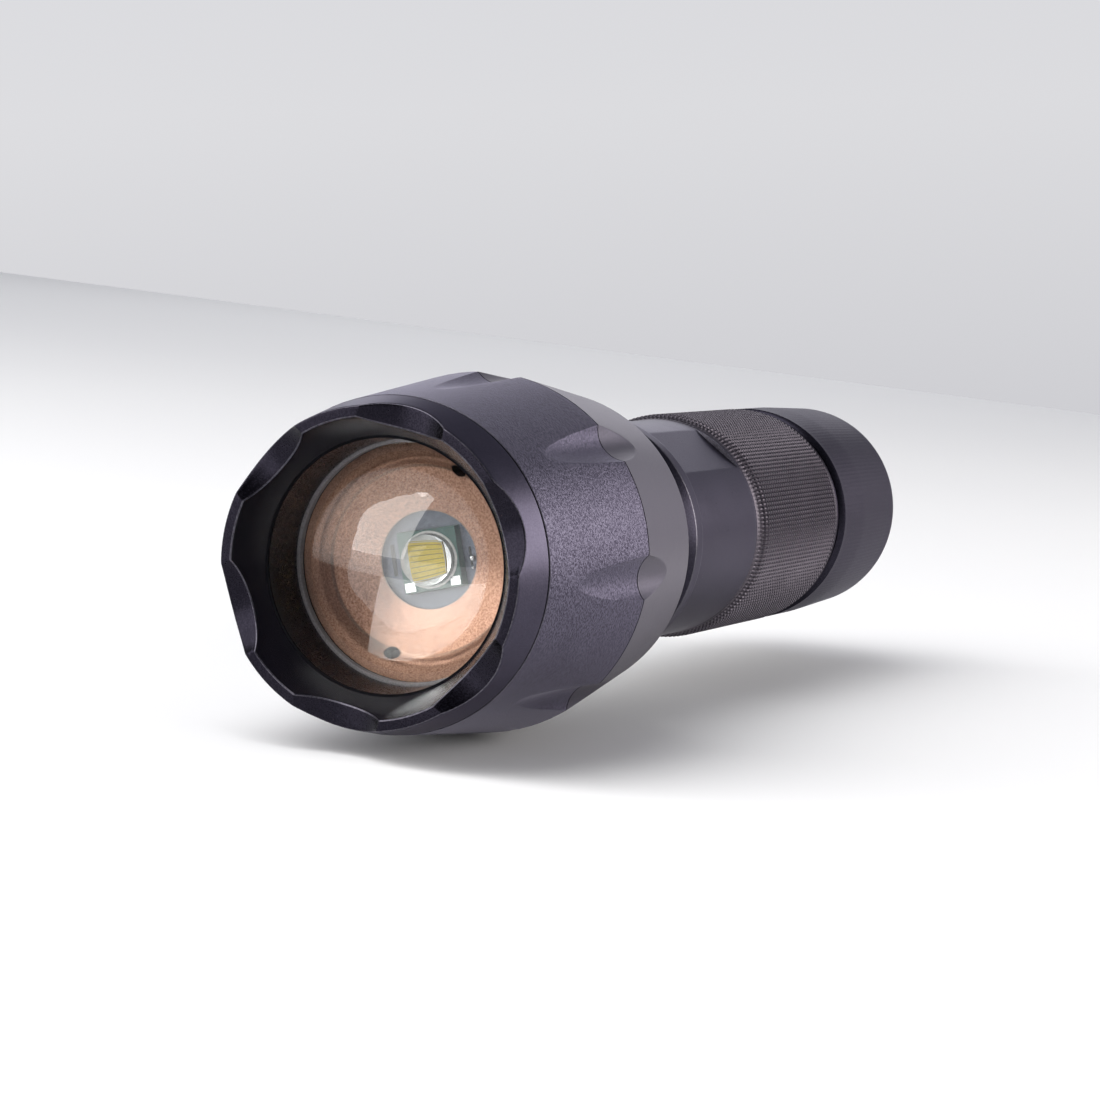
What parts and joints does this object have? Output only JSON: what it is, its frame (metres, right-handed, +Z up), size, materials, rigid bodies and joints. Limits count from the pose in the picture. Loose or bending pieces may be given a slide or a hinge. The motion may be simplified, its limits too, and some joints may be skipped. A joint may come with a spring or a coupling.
{
  "type": "tactical flashlight",
  "caption": "Focusing tactical flashlight with scalloped bezel, fluted sliding head, convex lens over an LED, knurled grip tube, threaded tail cap and rubber push switch.",
  "frame": {"origin": "on the torch's axis, in the middle of the knurled grip band", "axes": "+Y along the axis from the lens to the tail switch, +Z up as it lies, +X to the side that carries the upper flat's visible half"},
  "size_m": [0.0396, 0.1453, 0.0396],
  "materials": {
    "anodised_black": "satin black anodising, fine bead-blasted grain",
    "bare_aluminium": "turned, satin",
    "bronze_anodised": "satin bronze anodising",
    "star_board_blue": "solder mask on aluminium core",
    "ceramic_teal": "ceramic",
    "phosphor_yellow": "matte phosphor",
    "solder_silver": "tinned",
    "clear_silicone": "clear silicone",
    "wire_red": "insulation",
    "wire_black": "insulation",
    "board_green": "solder mask",
    "brass": "turned brass",
    "chip_black": "moulded",
    "ferrite_grey": "ferrite",
    "spring_steel": "plated wire",
    "sleeve_white": "plain plastic",
    "cell_metal": "nickel-plated can",
    "nickel": "nickel plate",
    "cell_wrap": "shrink wrap",
    "seal_rubber": "nitrile, greased",
    "lens_clear": "polished",
    "gasket_grey": "grey silicone",
    "spacer_black": "moulded",
    "switch_black": "moulded",
    "boot_rubber": "matt rubber",
    "plunger_white": "moulded"
  },
  "bodies": {
    "barrel": {"barrel": "anodised_black", "lamp_module": "bare_aluminium", "led_cover_disc": "bronze_anodised", "star_board": "star_board_blue", "led_substrate": "ceramic_teal", "led_die": "phosphor_yellow", "led_pads": "solder_silver", "led_dome": "clear_silicone", "led_wire_positive": "wire_red", "led_wire_negative": "wire_black", "driver_board": "board_green", "driver_ring": "brass", "driver_chip": "chip_black", "driver_inductor": "ferrite_grey", "driver_spring": "spring_steel", "battery_sleeve": "sleeve_white", "cell_can": "cell_metal", "cell_cap": "nickel", "cell_wrap": "cell_wrap"},
    "slide_seals": {"slide_seal_front": "seal_rubber", "slide_seal_rear": "seal_rubber"},
    "head": {"head_sleeve": "anodised_black", "bezel_ring": "anodised_black", "bezel_seal": "seal_rubber", "lens": "lens_clear", "lens_gasket": "gasket_grey", "lens_spacer": "spacer_black"},
    "tail_seal": {"tail_seal": "seal_rubber"},
    "tail_cap": {"tail_cap": "anodised_black", "switch_ring": "brass", "switch_board": "board_green", "switch_spacer": "sleeve_white", "switch_housing": "switch_black", "switch_cover": "nickel", "switch_tabs": "solder_silver", "tail_spring": "spring_steel", "switch_boot": "boot_rubber", "return_spring": "spring_steel"},
    "switch": {"switch_plunger": "plunger_white", "button_insert": "plunger_white"}
  },
  "joints": [
    {"name": "zoom_turn", "type": "hinge", "parent": "barrel", "child": "slide_seals", "pos_m": [0, -0.07905, 0], "axis": [0, 1, 0], "continuous": true},
    {"name": "zoom_slide", "type": "slide", "parent": "slide_seals", "child": "head", "axis": [0, -1, 0], "range_m": [0, 0.014]},
    {"name": "tail_cap_turn", "type": "hinge", "parent": "barrel", "child": "tail_seal", "pos_m": [0, 0.01825, 0], "axis": [0, 1, 0], "range_deg": [0, 1444]},
    {"name": "tail_cap_travel", "type": "slide", "parent": "tail_seal", "child": "tail_cap", "axis": [0, 1, 0], "range_m": [0, 0.006]},
    {"name": "switch_press", "type": "slide", "parent": "tail_cap", "child": "switch", "axis": [0, -1, 0], "range_m": [0, 0.0016], "stiffness_N_per_m": 900, "springref_m": -0.0012, "deforming": ["switch_boot", "return_spring"]}
  ],
  "couplings": [
    {"joint": "tail_cap_turn", "follows": "tail_cap_travel", "rad_per_m": 4188.8}
  ]
}
